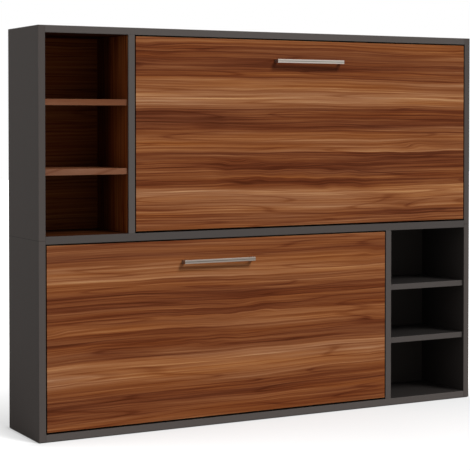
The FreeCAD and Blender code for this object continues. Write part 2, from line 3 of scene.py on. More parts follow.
import bpy
import numpy as np
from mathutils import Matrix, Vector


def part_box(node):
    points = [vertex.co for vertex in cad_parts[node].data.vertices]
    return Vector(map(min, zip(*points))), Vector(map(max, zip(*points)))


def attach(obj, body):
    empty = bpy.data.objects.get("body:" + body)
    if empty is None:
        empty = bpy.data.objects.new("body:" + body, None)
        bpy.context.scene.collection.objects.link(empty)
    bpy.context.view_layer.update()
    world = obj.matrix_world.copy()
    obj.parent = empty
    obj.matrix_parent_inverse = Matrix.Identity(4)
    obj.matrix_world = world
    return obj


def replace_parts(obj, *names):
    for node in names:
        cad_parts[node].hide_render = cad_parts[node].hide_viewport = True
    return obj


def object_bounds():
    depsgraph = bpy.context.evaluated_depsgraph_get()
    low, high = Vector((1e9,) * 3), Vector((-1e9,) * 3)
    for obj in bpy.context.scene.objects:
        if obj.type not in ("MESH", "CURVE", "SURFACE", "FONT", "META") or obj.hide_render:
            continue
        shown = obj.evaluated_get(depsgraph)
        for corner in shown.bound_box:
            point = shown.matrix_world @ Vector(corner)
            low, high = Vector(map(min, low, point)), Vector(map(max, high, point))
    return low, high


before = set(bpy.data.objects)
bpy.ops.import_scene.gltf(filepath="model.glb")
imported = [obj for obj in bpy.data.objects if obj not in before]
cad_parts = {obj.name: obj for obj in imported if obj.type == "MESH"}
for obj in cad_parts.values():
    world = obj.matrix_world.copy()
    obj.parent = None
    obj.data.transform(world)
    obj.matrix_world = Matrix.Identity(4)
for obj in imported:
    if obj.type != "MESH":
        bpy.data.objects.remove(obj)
cad_box = [list(corner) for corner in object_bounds()]

# Wall bunk bed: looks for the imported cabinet, its two fold-down beds and the mattresses.
# Metres, +Z up, X along the wall, the front faces -Y.

BEDS = ("upper_bed", "lower_bed")


# Shader building

def paint(red, green, blue):
    """A colour given as 0 to 255 screen values, as the linear colour that shaders take."""
    screen = np.array([red, green, blue]) / 255
    linear = np.where(screen <= 0.04045, screen / 12.92, ((screen + 0.055) / 1.055) ** 2.4)
    return (*(float(part) for part in linear), 1.0)


def add(tree, kind, feeds=None, **settings):
    """A shader node with its settings, and its inputs set or joined to other nodes."""
    made = tree.nodes.new("ShaderNode" + kind)
    for name, value in settings.items():
        setattr(made, name, value)
    for name, value in (feeds or {}).items():
        if isinstance(value, bpy.types.NodeSocket):
            tree.links.new(value, made.inputs[name])
        else:
            made.inputs[name].default_value = value
    return made


def maths(tree, operation, *values, clamp=False):
    """The result of one Math node."""
    return add(tree, "Math", dict(enumerate(values)), operation=operation, use_clamp=clamp).outputs[0]


def summed(tree, first, *others):
    """The sum of several values."""
    for other in others:
        first = maths(tree, "ADD", first, other)
    return first


def less(tree, value, other):
    """The first value less the second."""
    return maths(tree, "SUBTRACT", value, other)


def times(tree, value, factor):
    """The product of two values."""
    return maths(tree, "MULTIPLY", value, factor)


def centred(tree, value, size):
    """A value from 0 to 1 moved about zero and scaled."""
    return times(tree, less(tree, value, 0.5), size)


def spread(tree, value, start=0.0, end=1.0, first=0.0, last=1.0):
    """A value's way from start to end as the same way from first to last, and held beyond."""
    feeds = {"Value": value, "From Min": start, "From Max": end, "To Min": first, "To Max": last}
    return add(tree, "MapRange", feeds).outputs[0]


def near(tree, value, place, half_width, soft, beyond=0.0):
    """1 where a value lies within half_width of a place, changing over soft to what is beyond."""
    away = maths(tree, "ABSOLUTE", less(tree, value, place))
    return spread(tree, away, half_width, half_width + soft, 1.0, beyond)


def between(tree, value, low, high, soft, beyond=0.0):
    """1 where a value lies between two places, changing over soft to what is beyond."""
    return near(tree, value, (low + high) / 2, (high - low) / 2, soft, beyond)


def axis_of(tree, vector, axis):
    """One coordinate of a vector."""
    return add(tree, "SeparateXYZ", {"Vector": vector}).outputs[axis]


def shifted(tree, vector, other):
    """The sum of two vectors."""
    return add(tree, "VectorMath", {0: vector, 1: other}, operation="ADD").outputs[0]


def stretched(tree, vector, scales):
    """A vector or colour multiplied axis by axis."""
    return add(tree, "VectorMath", {0: vector, 1: scales}, operation="MULTIPLY").outputs[0]


def scaled(tree, vector, scale):
    """A vector or colour multiplied by one value."""
    return add(tree, "VectorMath", {0: vector, "Scale": scale}, operation="SCALE").outputs[0]


def turned(tree, vector, axes):
    """Coordinates in another order of their axes."""
    parts = add(tree, "SeparateXYZ", {"Vector": vector}).outputs
    return add(tree, "CombineXYZ", {slot: parts[axis] for slot, axis in zip("XYZ", axes)}).outputs[0]


def noise(tree, vector, scales, detail=2.0, roughness=0.5):
    """Smooth noise from 0 to 1 over coordinates stretched axis by axis, in cells per metre."""
    return add(tree, "TexNoise", {"Vector": stretched(tree, vector, scales), "Scale": 1.0,
                                  "Detail": detail, "Roughness": roughness}).outputs["Fac"]


def ramp(tree, value, stops):
    """A colour ramp with (place, colour) stops."""
    made = add(tree, "ValToRGB", {"Fac": value})
    points = made.color_ramp.elements
    while len(points) < len(stops):
        points.new(0.5)
    for point, (place, colour) in zip(points, stops):
        point.position = place
        point.color = colour
    return made.outputs["Color"]


def tones(tree, value, stops):
    """A ramp of plain tones from 0 to 1."""
    return ramp(tree, value, [(place, (tone, tone, tone, 1.0)) for place, tone in stops])


def new_group(name, inputs, outputs):
    """An empty shader group with named sockets; gives the tree, its inputs and its output node."""
    tree = bpy.data.node_groups.new(name, "ShaderNodeTree")
    for socket, kind in inputs:
        tree.interface.new_socket(socket, in_out="INPUT", socket_type="NodeSocket" + kind)
    for socket in outputs:
        tree.interface.new_socket(socket, in_out="OUTPUT", socket_type="NodeSocketFloat")
    return tree, tree.nodes.new("NodeGroupInput").outputs, tree.nodes.new("NodeGroupOutput")


def placed_group(tree, group, feeds):
    """One use of a shader group."""
    return add(tree, "Group", feeds, node_tree=group).outputs


def new_finish(name, roughness=0.5, metallic=0.0, specular=0.5):
    """A material with its shader; gives the material, its tree, the shader and the object coordinates."""
    made = bpy.data.materials.new(name)
    made.use_nodes = True
    tree = made.node_tree
    shader = tree.nodes["Principled BSDF"]
    shader.inputs["Roughness"].default_value = roughness
    shader.inputs["Metallic"].default_value = metallic
    shader.inputs["Specular IOR Level"].default_value = specular
    return made, tree, shader, add(tree, "TexCoord").outputs["Object"]


def tinted(tree, shader, colour, lift):
    """One colour, lighter or darker by a value about 1."""
    tree.links.new(scaled(tree, paint(*colour)[:3], lift), shader.inputs["Base Color"])


def bumped(tree, shader, height, distance, strength=1.0):
    """Relief from a height value."""
    made = add(tree, "Bump", {"Height": height, "Distance": distance, "Strength": strength})
    tree.links.new(made.outputs["Normal"], shader.inputs["Normal"])


# Shader groups

# Noise in wood: cells per metre along the grain, through the board and across the grain, then
# detail and roughness.
SLOW_BEND = ((0.55, 1.5, 1.6), 1.0)
QUICK_BEND = ((2.2, 3.0, 8.0), 1.5)
KNOT_SPOTS = ((1.9, 2.0, 6.5), 0.0)
KNOT_SWIRL = ((4.0, 3.0, 15.0), 1.0)
BROAD_STREAKS = ((0.45, 3.0, 17.0), 3.0)
FINE_STREAKS = ((0.8, 6.0, 110.0), 5.0, 0.68)
FIGURE = ((0.42, 2.0, 11.0), 1.0)
FIBRES = ((9.0, 60.0, 620.0), 2.0)
HUES = ((0.9, 3.0, 21.0), 2.0, 0.6)
# How far each bend moves the grain, in metres.
SLOW_REACH, QUICK_REACH, SWIRL_REACH = 0.055, 0.021, 0.055
# Where in their noise knots begin and are full.
KNOT_RANGE = (0.65, 0.76)
# Growth lines over the figure's whole range, and a line's half width and soft edge as shares of
# half the way between two lines.
GROWTH_LINES, LINE_HALF, LINE_SOFT = 9.0, 0.03, 0.14
# How much the streaks, the growth between two lines and the knots change the tone.
BROAD_TONE, FINE_TONE, GROWTH_TONE, KNOT_TONE = 0.8, 2.3, 0.12, 0.14


def wood_group():
    """Flat-sawn wood. Coordinates run along the grain in X. Slow noise bends the height of each
    point, so the streaks flow, and at a few knots they swirl and darken; stretched noise makes
    broad and fine streaks, and its level lines give the thin growth lines, which darken softly
    from midway between two of them."""
    tree, given, result = new_group("wood_streaks", [("Vector", "Vector"), ("Flow", "Float")],
                                    ("Across", "Streaks", "Fibre", "Lines", "Hue"))
    along = given["Vector"]
    slow = centred(tree, noise(tree, along, *SLOW_BEND), SLOW_REACH)
    quick = centred(tree, noise(tree, along, *QUICK_BEND), QUICK_REACH)
    knots = spread(tree, noise(tree, along, *KNOT_SPOTS), *KNOT_RANGE)
    swirl = times(tree, centred(tree, noise(tree, along, *KNOT_SWIRL), SWIRL_REACH), knots)
    bend = times(tree, summed(tree, slow, quick, swirl), given["Flow"])
    parts = add(tree, "SeparateXYZ", {"Vector": along}).outputs
    across = summed(tree, parts["Z"], bend)
    bent = add(tree, "CombineXYZ", {"X": parts["X"], "Y": parts["Y"], "Z": across}).outputs[0]
    broad = centred(tree, noise(tree, bent, *BROAD_STREAKS), BROAD_TONE)
    fine = centred(tree, noise(tree, bent, *FINE_STREAKS), FINE_TONE)
    rings = maths(tree, "FRACT", times(tree, noise(tree, bent, *FIGURE), GROWTH_LINES))
    growth = near(tree, rings, 0.5, 0.0, 0.5)
    streaks = summed(tree, broad, fine, centred(tree, growth, GROWTH_TONE))
    results = {"Across": across, "Streaks": less(tree, streaks, times(tree, knots, KNOT_TONE)),
               "Fibre": noise(tree, along, *FIBRES), "Lines": near(tree, growth, 0.0, LINE_HALF, LINE_SOFT),
               "Hue": centred(tree, noise(tree, bent, *HUES), 1.0)}
    for socket, value in results.items():
        tree.links.new(value, result.inputs[socket])
    return tree


def grit_group():
    """The fine uneven skin of melamine, paint and moulded plastic: two sizes of noise."""
    tree, given, result = new_group("fine_grit", [("Vector", "Vector"), ("Cells", "Float")],
                                    ("Tone", "Height"))
    grains = scaled(tree, given["Vector"], given["Cells"])
    small = add(tree, "TexNoise", {"Vector": grains, "Scale": 1.0, "Detail": 3.0}).outputs["Fac"]
    wide = add(tree, "TexNoise", {"Vector": given["Vector"], "Scale": 2.5, "Detail": 2.0}).outputs["Fac"]
    tone = summed(tree, centred(tree, small, 0.5), centred(tree, wide, 0.5))
    tree.links.new(tone, result.inputs["Tone"])
    tree.links.new(small, result.inputs["Height"])
    return tree


WOOD = wood_group()
GRIT = grit_group()


# Finishes

ARRIS = 0.0004
SHADE_SOFT = 0.0003
SEAM_HALF = 0.0006
SEAM_DARK = 0.75
GROOVE_HALF = 0.0015
# How much painted shade darkens the groove along a handle bar.
GROOVE_PAINTED_SHADE = 0.5
# How much painted shade darkens a front's narrow faces, for the shadowed gaps round it.
EDGE_PAINTED_SHADE = 0.8
# Painted shade on boards lying level in the niche lining, as a share of their colour.
LYING_PAINTED_SHADE = 0.2
BAND_CONTRAST = 0.9
BAND_MIDDLE = 0.545
# Streaks are stronger in dark bands than in light ones: the tones of both, and the share at each.
DARK_BAND, LIGHT_BAND, DARK_STREAKS, LIGHT_STREAKS = 0.3, 0.75, 1.15, 0.75
PORE_TONE, PORE_ROUGH = 0.16, -0.14
WOOD_RELIEF, WOOD_RELIEF_STRENGTH = 0.0002, 0.6
# How much the hue changes green and blue.
HUE_SIZES = (0.3, 1.0)
GRIT_ROUGH = 0.12
BRUSH_TONE, BRUSH_ROUGH = 0.22, 0.25
CLOTH_ROUGH, CLOTH_SPECULAR, CLOTH_RELIEF_STRENGTH = 0.92, 0.2, 0.7
CLOTH_SHEEN, CLOTH_SHEEN_ROUGH = 0.25, 0.5
FUZZ = (260.0, 260.0, 260.0)
WALNUT_COLOURS = [(0.0, paint(80, 34, 11)), (0.25, paint(105, 52, 25)), (0.55, paint(135, 79, 43)),
                  (0.8, paint(161, 106, 67)), (1.0, paint(196, 146, 101))]
BEECH_COLOURS = [(0.0, paint(176, 134, 92)), (0.5, paint(206, 168, 124)), (1.0, paint(226, 196, 158))]


def wood_finish(name, colours, axes, bands=None, low=0.0, high=1.0, middle=0.5, dim=None, streaks=1.0,
                flow=1.0, offset=(0.0, 0.0, 0.0), lines=0.16, roughness=0.42, specular=0.2, edge=None,
                upright=None, hue=1.4, fade=None):
    """A wood decor. Axes are the ones along the grain, through the board and across the grain;
    outside the two heights of upright, boards lie level with the grain along X, and carry painted
    shade. The tone is the boards' light and dark bands, read at the bent height, plus the streaks and
    the pores, less the growth lines. The colour is darkened by painted shade along a ramp between two
    places on one axis, deeper in a niche's corner. Narrow faces between the two depths of edge carry
    painted shade, a dark band for the shadowed gaps round a front."""
    made, tree, shader, place = new_finish(name, roughness, 0.0, specular)
    moved = shifted(tree, place, offset)
    along = turned(tree, moved, axes)
    if upright:
        stands = between(tree, axis_of(tree, place, "Z"), *upright, ARRIS)
        lying = scaled(tree, turned(tree, moved, "XZY"), less(tree, 1.0, stands))
        along = shifted(tree, scaled(tree, along, stands), lying)
    wood = placed_group(tree, WOOD, {"Vector": along, "Flow": flow})
    base = middle
    if bands:
        share = spread(tree, wood["Across"], high, low)
        base = summed(tree, centred(tree, tones(tree, share, bands), BAND_CONTRAST), BAND_MIDDLE)
        streaks = spread(tree, base, DARK_BAND, LIGHT_BAND, DARK_STREAKS * streaks, LIGHT_STREAKS * streaks)
    tone = summed(tree, base, times(tree, wood["Streaks"], streaks))
    tone = less(tree, tone, times(tree, wood["Lines"], lines))
    tone = maths(tree, "ADD", tone, centred(tree, wood["Fibre"], PORE_TONE), clamp=True)
    green, blue = (summed(tree, times(tree, wood["Hue"], size * hue), 1.0) for size in HUE_SIZES)
    warmth = add(tree, "CombineXYZ", {"X": 1.0, "Y": green, "Z": blue}).outputs[0]
    colour = stretched(tree, ramp(tree, tone, colours), warmth)
    # Boards lying level turn their grain and take painted shade.
    if upright:
        colour = scaled(tree, colour, spread(tree, stands, first=LYING_PAINTED_SHADE))
    # A tint on the colour; on the niche's lining and back it is painted shade.
    if dim:
        colour = stretched(tree, colour, dim)
    # The fade is painted shade along one axis.
    if fade:
        axis, start, end, stops = fade
        share = spread(tree, axis_of(tree, place, axis), start, end)
        colour = scaled(tree, colour, tones(tree, share, stops))
    # Painted shade on a front's narrow faces, for the shadowed gaps round it.
    if edge:
        gap_painted_shade = between(tree, axis_of(tree, place, "Y"), *edge, ARRIS)
        colour = scaled(tree, colour, less(tree, 1.0, times(tree, gap_painted_shade, EDGE_PAINTED_SHADE)))
    tree.links.new(colour, shader.inputs["Base Color"])
    rough = summed(tree, centred(tree, wood["Fibre"], PORE_ROUGH), roughness)
    tree.links.new(rough, shader.inputs["Roughness"])
    relief = summed(tree, wood["Fibre"], wood["Streaks"])
    bumped(tree, shader, relief, WOOD_RELIEF, WOOD_RELIEF_STRENGTH)
    return made


def grit_finish(name, colour, mottle=0.16, cells=900.0, roughness=0.55, metallic=0.0, specular=0.2,
                depth=0.00008, seam=None, shade=None):
    """A plain coloured skin with fine uneven tone and relief. It may have a dark joint line at one
    height, and painted shade beyond two planes: shade holds their axis and places, and the tone."""
    made, tree, shader, place = new_finish(name, roughness, metallic, specular)
    grit = placed_group(tree, GRIT, {"Vector": place, "Cells": cells})
    lift = summed(tree, times(tree, grit["Tone"], mottle), 1.0)
    if seam is not None:
        joint = near(tree, axis_of(tree, place, "Z"), seam, SEAM_HALF, ARRIS)
        lift = less(tree, lift, times(tree, joint, SEAM_DARK))
    # Painted shade beyond two planes.
    if shade is not None:
        axis, low, high, tone = shade
        lift = times(tree, lift, between(tree, axis_of(tree, place, axis), low, high, SHADE_SOFT, tone))
    tinted(tree, shader, colour, lift)
    rough = summed(tree, times(tree, grit["Tone"], GRIT_ROUGH), roughness)
    tree.links.new(rough, shader.inputs["Roughness"])
    bumped(tree, shader, grit["Height"], depth)
    return made


def brushed_finish(name, colour, scales, roughness=0.36, depth=0.00004, groove=None):
    """Bright metal brushed one way: noise drawn out along the brushing. A groove at one height carries
    painted shade.
    """
    made, tree, shader, place = new_finish(name, roughness, 1.0)
    lines = noise(tree, place, scales, 3.0, 0.6)
    lift = summed(tree, centred(tree, lines, BRUSH_TONE), 1.0)
    # Painted shade in the groove.
    if groove is not None:
        groove_painted_shade = near(tree, axis_of(tree, place, "Z"), groove, GROOVE_HALF, SHADE_SOFT)
        lift = less(tree, lift, times(tree, groove_painted_shade, GROOVE_PAINTED_SHADE))
    tinted(tree, shader, colour, lift)
    rough = summed(tree, centred(tree, lines, BRUSH_ROUGH), roughness)
    tree.links.new(rough, shader.inputs["Roughness"])
    bumped(tree, shader, lines, depth)
    return made


def knit_finish(name, colour, cells, mottle=0.12, depth=0.0004):
    """Knitted or woven cloth: two crossed waves make the stitches, and fine noise the fuzz."""
    made, tree, shader, place = new_finish(name, CLOTH_ROUGH, 0.0, CLOTH_SPECULAR)
    shader.inputs["Sheen Weight"].default_value = CLOTH_SHEEN
    shader.inputs["Sheen Roughness"].default_value = CLOTH_SHEEN_ROUGH
    parts = add(tree, "SeparateXYZ", {"Vector": stretched(tree, place, (cells,) * 3)}).outputs
    wales = maths(tree, "SINE", summed(tree, parts["X"], parts["Y"]))
    rows = maths(tree, "SINE", less(tree, parts["Z"], parts["Y"]))
    stitches = times(tree, wales, rows)
    fuzz = noise(tree, place, FUZZ)
    shade = summed(tree, times(tree, stitches, mottle * 0.5), centred(tree, fuzz, mottle))
    tinted(tree, shader, colour, summed(tree, shade, 1.0))
    bumped(tree, shader, summed(tree, stitches, fuzz), depth, CLOTH_RELIEF_STRENGTH)
    return made


def panel_span(node):
    """Lowest and highest Z of a node."""
    low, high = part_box(node)
    return low.z, high.z


# Bands of each front, from its top edge down: where they lie and how light they are.
UPPER_BANDS = [
    (0.0, 0.60), (0.03, 0.38), (0.10, 0.28), (0.15, 0.20), (0.198, 0.42), (0.205, 0.64), (0.25, 0.62),
    (0.28, 0.80), (0.31, 0.78), (0.358, 0.54), (0.364, 0.27), (0.44, 0.23), (0.50, 0.38), (0.52, 0.52),
    (0.575, 0.50), (0.598, 0.68), (0.603, 0.25), (0.66, 0.27), (0.735, 0.36), (0.752, 0.14),
    (0.786, 0.38), (0.793, 0.75), (0.85, 0.68), (0.89, 0.52), (0.94, 0.24), (1.0, 0.38)]
LOWER_BANDS = [
    (0.0, 0.34), (0.05, 0.36), (0.12, 0.50), (0.20, 0.69), (0.212, 0.77), (0.218, 0.46), (0.265, 0.44),
    (0.285, 0.35), (0.33, 0.25), (0.39, 0.30), (0.42, 0.18), (0.432, 0.56), (0.48, 0.56), (0.54, 0.34),
    (0.60, 0.30), (0.638, 0.36), (0.643, 0.73), (0.75, 0.68), (0.79, 0.46), (0.82, 0.28),
    (0.87, 0.13), (0.90, 0.36), (0.94, 0.31), (1.0, 0.54)]
# Painted shade on the upper niche: how light its lining is from its back to its front, stepped at a painted
# shadow's edge, and its back from left to right.
LINING_PAINTED_SHADE = [(0.0, 0.40), (0.36, 0.26), (0.48, 0.76), (0.7, 0.82), (1.0, 1.0)]
BACK_PAINTED_SHADE = [(0.0, 1.0), (0.4, 0.87), (1.0, 0.56)]
ANTHRACITE = (84, 78, 75)
HANDLE_BRUSHING = (6.0, 900.0, 900.0)
LINING_THICK = 0.003
# Further out than any part of the cabinet.
FAR = 9.0

SIDE_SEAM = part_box("side_left_upper")[0].z
lining_low, lining_high = panel_span("upper_niche_lining")
LINING_SIDES = (lining_low + LINING_THICK + ARRIS, lining_high - LINING_THICK - ARRIS)
front_y, front_back = (corner.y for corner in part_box("upper_bed_front_panel"))
# The depths between which a front's narrow faces carry painted shade for the shadowed gaps round it:
# just behind its face and just short of its back.
FRONT_EDGE = (front_y + 0.0014, front_back - 0.0005)
niche_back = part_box("upper_niche_back")

finishes = {
    "upper_front": wood_finish("walnut_upper_front", WALNUT_COLOURS, "XYZ", UPPER_BANDS,
                               *panel_span("upper_bed_front_panel"), streaks=0.8, offset=(3.1, 0.0, 0.0),
                               specular=0.08, edge=FRONT_EDGE),
    "lower_front": wood_finish("walnut_lower_front", WALNUT_COLOURS, "XYZ", LOWER_BANDS,
                               *panel_span("lower_bed_front_panel"), streaks=0.68, offset=(7.7, 0.0, 0.0),
                               specular=0.08, edge=FRONT_EDGE),
    # The niche's lining and back carry painted shade: a dark tint, and a ramp from back to front on the
    # lining, stepped where a painted shadow's edge falls, and from left to right on the back.
    "niche_lining": wood_finish("walnut_niche_lining", WALNUT_COLOURS, "ZXY", middle=0.48,
                                dim=(0.90, 0.72, 0.48), offset=(1.3, 0.4, 5.0), roughness=0.6,
                                specular=0.05, upright=LINING_SIDES,
                                fade=("Y", niche_back[0].y, front_y, LINING_PAINTED_SHADE)),
    "niche_back": wood_finish("walnut_niche_back", WALNUT_COLOURS, "XYZ", middle=0.42,
                              dim=(0.88, 0.79, 0.54), streaks=0.65, offset=(11.0, 2.0, 0.0), roughness=0.6,
                              specular=0.05, fade=("X", niche_back[0].x, niche_back[1].x, BACK_PAINTED_SHADE)),
    "niche_shelf": wood_finish("walnut_niche_shelf", WALNUT_COLOURS, "XZY", middle=0.60, streaks=0.4,
                               dim=(0.66, 0.69, 0.88), offset=(5.0, 6.0, 0.0)),
    "board": grit_finish("anthracite_board", ANTHRACITE),
    # The lower niche's back: anthracite darkened by painted shade.
    "painted_shade_board": grit_finish("anthracite_niche_back", (62, 57, 54), specular=0.05),
    # The handles are one metal; the lower one's darker colour is a painted dimmer reflection.
    "upper_handle": brushed_finish("satin_upper_handle", (188, 179, 170), HANDLE_BRUSHING, 0.4,
                                   groove=sum(panel_span("upper_bed_handle_bar")) / 2),
    "lower_handle": brushed_finish("satin_lower_handle", (168, 156, 146), HANDLE_BRUSHING, 0.4,
                                   groove=sum(panel_span("lower_bed_handle_bar")) / 2),
    "frame": grit_finish("frame_grey_powder_coat", (128, 130, 132), 0.10, 1500.0, 0.5, 0.0, 0.45, 0.00015),
    "zinc": brushed_finish("zinc_plate", (188, 190, 192), (320.0, 320.0, 60.0), 0.42),
    "strut_tube": grit_finish("strut_black_paint", (26, 26, 27), 0.10, 600.0, 0.3, 0.0, 0.5, 0.00003),
    "strut_rod": brushed_finish("strut_chrome", (205, 206, 208), (300.0, 300.0, 40.0), 0.14, 0.00001),
    "slat": wood_finish("beech_slat", BEECH_COLOURS, "ZYX", middle=0.5, streaks=0.55, flow=0.2, lines=0.05,
                        roughness=0.5, hue=0.25),
    "plastic": grit_finish("black_plastic", (30, 30, 31), 0.14, 1800.0, 0.48, 0.0, 0.5, 0.00012),
    "cover": knit_finish("mattress_cover", (222, 219, 211), 1900.0),
    "piping": knit_finish("mattress_piping", (118, 121, 124), 2600.0),
    "webbing": knit_finish("webbing", (58, 60, 64), 2200.0, 0.3, 0.0003),
}

# The finish of a node, or of both beds' nodes of one name; all other nodes are anthracite boards.
FINISH_OF = {
    "upper_bed_front_panel": "upper_front", "lower_bed_front_panel": "lower_front",
    "upper_niche_lining": "niche_lining", "upper_niche_back": "niche_back",
    "upper_niche_shelf_1": "niche_shelf", "upper_niche_shelf_2": "niche_shelf",
    "lower_niche_back": "painted_shade_board", "floor_glides": "plastic",
    "upper_bed_handle_bar": "upper_handle", "upper_bed_handle_posts": "upper_handle",
    "lower_bed_handle_bar": "lower_handle", "lower_bed_handle_posts": "lower_handle",
    "frame_end_rails": "frame", "frame_long_rails": "frame",
    "guard_posts": "frame", "guard_bow": "frame", "guard_bars": "frame", "guard_pins": "zinc",
    "pivot_brackets": "zinc", "pivot_bolts": "zinc", "hub_plates": "zinc", "strut_anchors": "zinc",
    "strut_cylinders": "strut_tube", "strut_rods": "strut_rod", "slats": "slat", "slat_holders": "plastic",
    "stops": "plastic", "mattress": "cover", "mattress_straps": "webbing",
}

# Boards whose inner faces carry painted shade, darker than their front and outer ones: the axis that
# those faces look along, whether the low and the high face are inner ones, their painted shade's
# tone, and a factor on the board's whole colour.
PAINTED_SHADE_BOARDS = {
    "top_board": ("Z", True, False, 0.4, 1.0), "middle_board": ("Z", True, True, 0.38, 0.88),
    "bottom_board": ("Z", True, True, 0.22, 1.0), "upper_divider": ("X", True, True, 0.4, 1.0),
    "lower_divider": ("X", True, True, 0.4, 0.95), "side_left_upper": ("X", False, True, 0.4, 1.0),
    "side_left_lower": ("X", False, True, 0.4, 1.0), "side_right_upper": ("X", True, False, 0.4, 1.0),
    "side_right_lower": ("X", True, False, 0.4, 1.0), "lower_niche_shelf_1": ("Y", False, True, 0.2, 0.92),
    "lower_niche_shelf_2": ("Y", False, True, 0.2, 0.92),
}


def painted_shade_board(node):
    """The anthracite finish of one board, with painted shade on its inner faces; of a shelf, all
    but the front face carry it."""
    axis, low_inner, high_inner, tone, depth = PAINTED_SHADE_BOARDS[node]
    low, high = (getattr(corner, axis.lower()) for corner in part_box(node))
    if axis == "Y":
        high = low + 3 * ARRIS
    shade = (axis, low + ARRIS if low_inner else -FAR, high - ARRIS if high_inner else FAR, tone)
    side = node.startswith("side_")
    return grit_finish("anthracite_" + node, [part * depth for part in ANTHRACITE],
                       specular=0.04 if side else 0.2, seam=SIDE_SEAM if side else None, shade=shade)


for node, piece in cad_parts.items():
    bare = node.removeprefix("upper_bed_").removeprefix("lower_bed_")
    if node in PAINTED_SHADE_BOARDS:
        finish = painted_shade_board(node)
    else:
        finish = finishes[FINISH_OF.get(node) or FINISH_OF.get(bare) or "board"]
    piece.data.materials.clear()
    piece.data.materials.append(finish)


# Surfaces

def grid_quads(rows, columns, close_rows=False):
    """Four-sided faces over a grid of points whose columns run round and join up."""
    last = rows if close_rows else rows - 1
    row, column = np.meshgrid(np.arange(last), np.arange(columns), indexing="ij")
    below = (row + 1) % rows
    right = (column + 1) % columns
    corners = [row * columns + column, row * columns + right,
               below * columns + right, below * columns + column]
    return np.stack(corners, -1).reshape(-1, 4)


def volume_of(points, quads):
    """Signed volume inside a closed surface: a sixth of the sum of each triangle's triple product."""
    total = 0.0
    for triangle in ((0, 1, 2), (0, 2, 3)):
        a, b, c = (points[quads[:, corner]] for corner in triangle)
        total += np.einsum("ij,ij->i", a, np.cross(b, c)).sum()
    return total / 6


def new_piece(name, points, quads, finish, body, slot):
    """A smooth mesh piece that rides on a CAD body, with its faces turned outwards."""
    points = np.asarray(points, float).reshape(-1, 3)
    if volume_of(points - points.mean(0), quads) < 0:
        quads = quads[:, ::-1]
    mesh = bpy.data.meshes.new(name)
    mesh.from_pydata(points.tolist(), [], quads.tolist())
    mesh.validate()
    mesh.polygons.foreach_set("use_smooth", np.full(len(mesh.polygons), True))
    mesh.update()
    mesh.materials.append(finishes[finish])
    made = bpy.data.objects.new(name, mesh)
    bpy.context.scene.collection.objects.link(made)
    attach(made, body)
    return made


def gathered(parts):
    """Several (points, quads) surfaces as one."""
    points, quads, count = [], [], 0
    for some_points, some_quads in parts:
        flat = np.asarray(some_points, float).reshape(-1, 3)
        points.append(flat)
        quads.append(some_quads + count)
        count += len(flat)
    return np.concatenate(points), np.concatenate(quads)


def rounded_corners(corners, radius, steps=8, closed=False):
    """A path through corners, each cut by an arc: a corner's points are its centre plus the
    radius times the cosine and sine of angles between the two tangent points."""
    corners = np.asarray(corners, float)
    path = [] if closed else [corners[:1]]
    places = range(len(corners)) if closed else range(1, len(corners) - 1)
    for place in places:
        here = corners[place]
        before = corners[place - 1] - here
        after = corners[(place + 1) % len(corners)] - here
        before /= np.linalg.norm(before)
        after /= np.linalg.norm(after)
        half_turn = math.acos(np.clip(before @ after, -1, 1)) / 2
        middle = before + after
        middle /= np.linalg.norm(middle)
        centre = here + middle * radius / math.sin(half_turn)
        swing = np.linspace(-1, 1, steps)[:, None] * (math.pi / 2 - half_turn)
        side = after - middle * (after @ middle)
        side /= np.linalg.norm(side)
        path.append(centre + radius * (np.sin(swing) * side - np.cos(swing) * middle))
    if not closed:
        path.append(corners[-1:])
    return np.concatenate(path)


def capped(rings):
    """Rings of points with one more at each end, all at the middle of the last ring there."""
    ends = (rings[0], rings[-1])
    first, last = (np.repeat(ring.mean(0, keepdims=True), len(ring), 0)[None] for ring in ends)
    return np.concatenate([first, rings, last])


def carried(path, profile, across, closed=False):
    """A profile carried along a path: each path point plus the profile's first number along a
    fixed direction across, and its second along the normal, which is the tangent crossed with it."""
    path = np.asarray(path, float)
    if closed:
        tangent = np.roll(path, -1, 0) - np.roll(path, 1, 0)
    else:
        tangent = np.gradient(path, axis=0)
    tangent /= np.linalg.norm(tangent, axis=1, keepdims=True)
    across = np.asarray(across, float)
    normal = np.cross(tangent, across)
    points = path[:, None] + profile[None, :, :1] * across + profile[None, :, 1:] * normal[:, None]
    if not closed:
        points = capped(points)
    return points, grid_quads(len(points), len(profile), close_rows=closed)


def rounded_profile(width, thick, steps=4):
    """A closed outline, width by thick, with round edges."""
    half_w, half_t = width / 2, thick / 2
    corners = [(-half_w, -half_t), (half_w, -half_t), (half_w, half_t), (-half_w, half_t)]
    return rounded_corners(corners, half_t * 0.9, steps, closed=True)


def circle(radius, steps):
    """A closed round outline."""
    turn = np.arange(steps) / steps * 2 * math.pi
    return radius * np.stack([np.cos(turn), np.sin(turn)], -1)


# Mattresses

OUTLINE_RADIUS = 0.055
COVER_INSET = 0.005
SEAM_INSET = 0.016
FRONT_INSET = 0.002
BACK_INSET = 0.004
CROWN = 0.007
VOXEL = 0.014
# The cover's filling: the air's pressure, the cloth's stiffness, how many frames it is blown for,
# how far it may swell, and over what way the seams hold it back.
AIR_PRESSURE = 4.0
CLOTH_STIFFNESS = 25.0
SWELL_FRAMES = 20
SWELL_CAP = 0.006
HELD_WAY = 0.05
# Quilting: diamonds, stitched valleys, and how much of it the hidden front face has.
QUILT_PITCH = 0.135
QUILT_DEPTH = 0.0045
VALLEY_WIDTH = 0.006
VALLEY_SHARE = 0.35
FRONT_SHARE = 0.3
# How deep below the box's back and front the quilted faces reach, over what way they begin, and
# the plain rim round them.
BACK_LAYER, FRONT_LAYER, LAYER_SOFT = 0.014, 0.012, 0.006
RIM, RIM_SOFT = 0.02, 0.05
